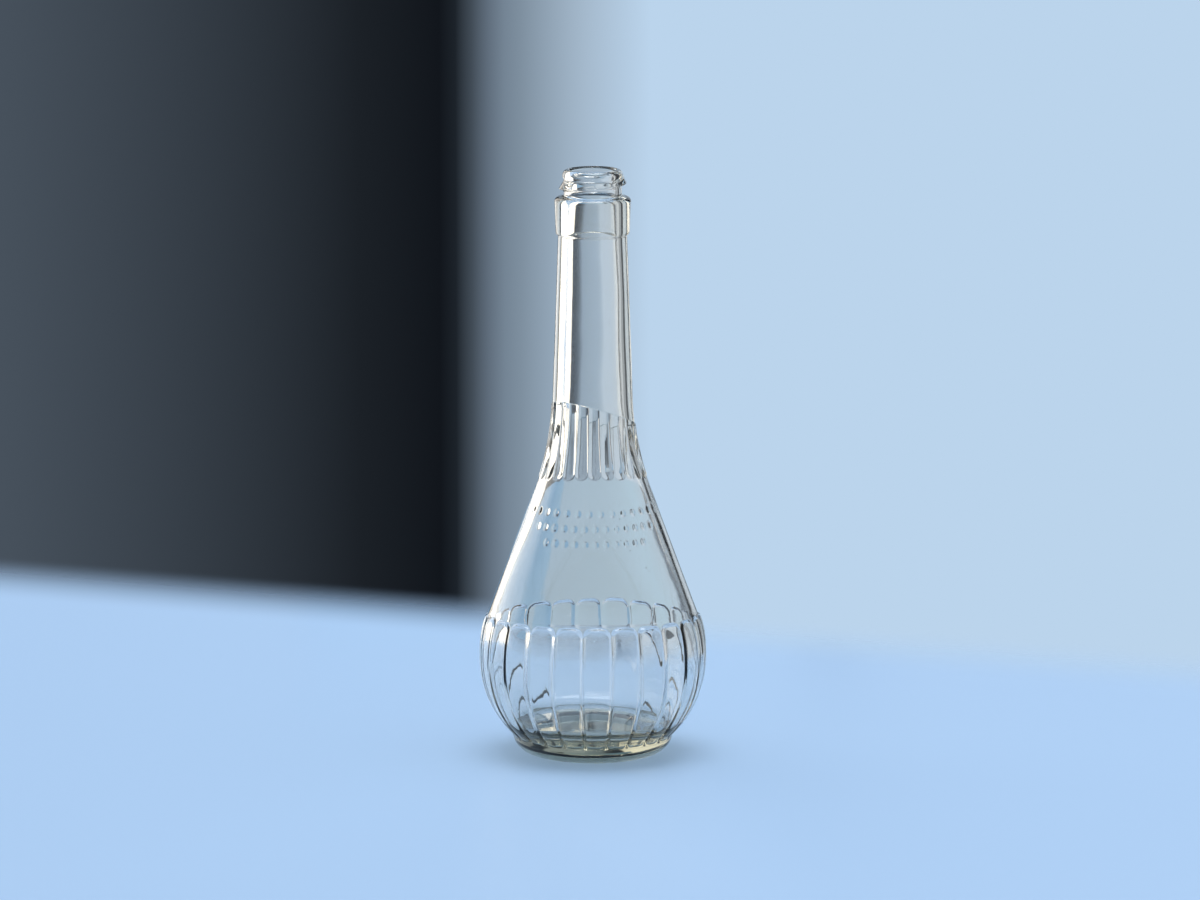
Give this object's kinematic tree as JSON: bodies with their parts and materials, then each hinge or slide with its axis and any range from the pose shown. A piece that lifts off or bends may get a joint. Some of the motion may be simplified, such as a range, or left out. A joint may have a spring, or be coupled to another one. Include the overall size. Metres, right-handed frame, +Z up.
{
  "type": "genie bottle",
  "caption": "Empty clear glass bottle with a round lobed belly on a plain foot, a conical shoulder, a slim neck with a slanted cuff of ribs, a collar and an open mouth.",
  "frame": {"origin": "centre of the flat standing ring, on the surface that the bottle stands on", "axes": "+Z up along the bottle's axis to the mouth; -Y is the front, and the cuff of ribs is highest 45 degrees to the left of it"},
  "size_m": [0.0952, 0.0952, 0.245],
  "materials": {
    "glass": "polished"
  },
  "bodies": {
    "root": {"bottle": "glass"}
  },
  "joints": []
}
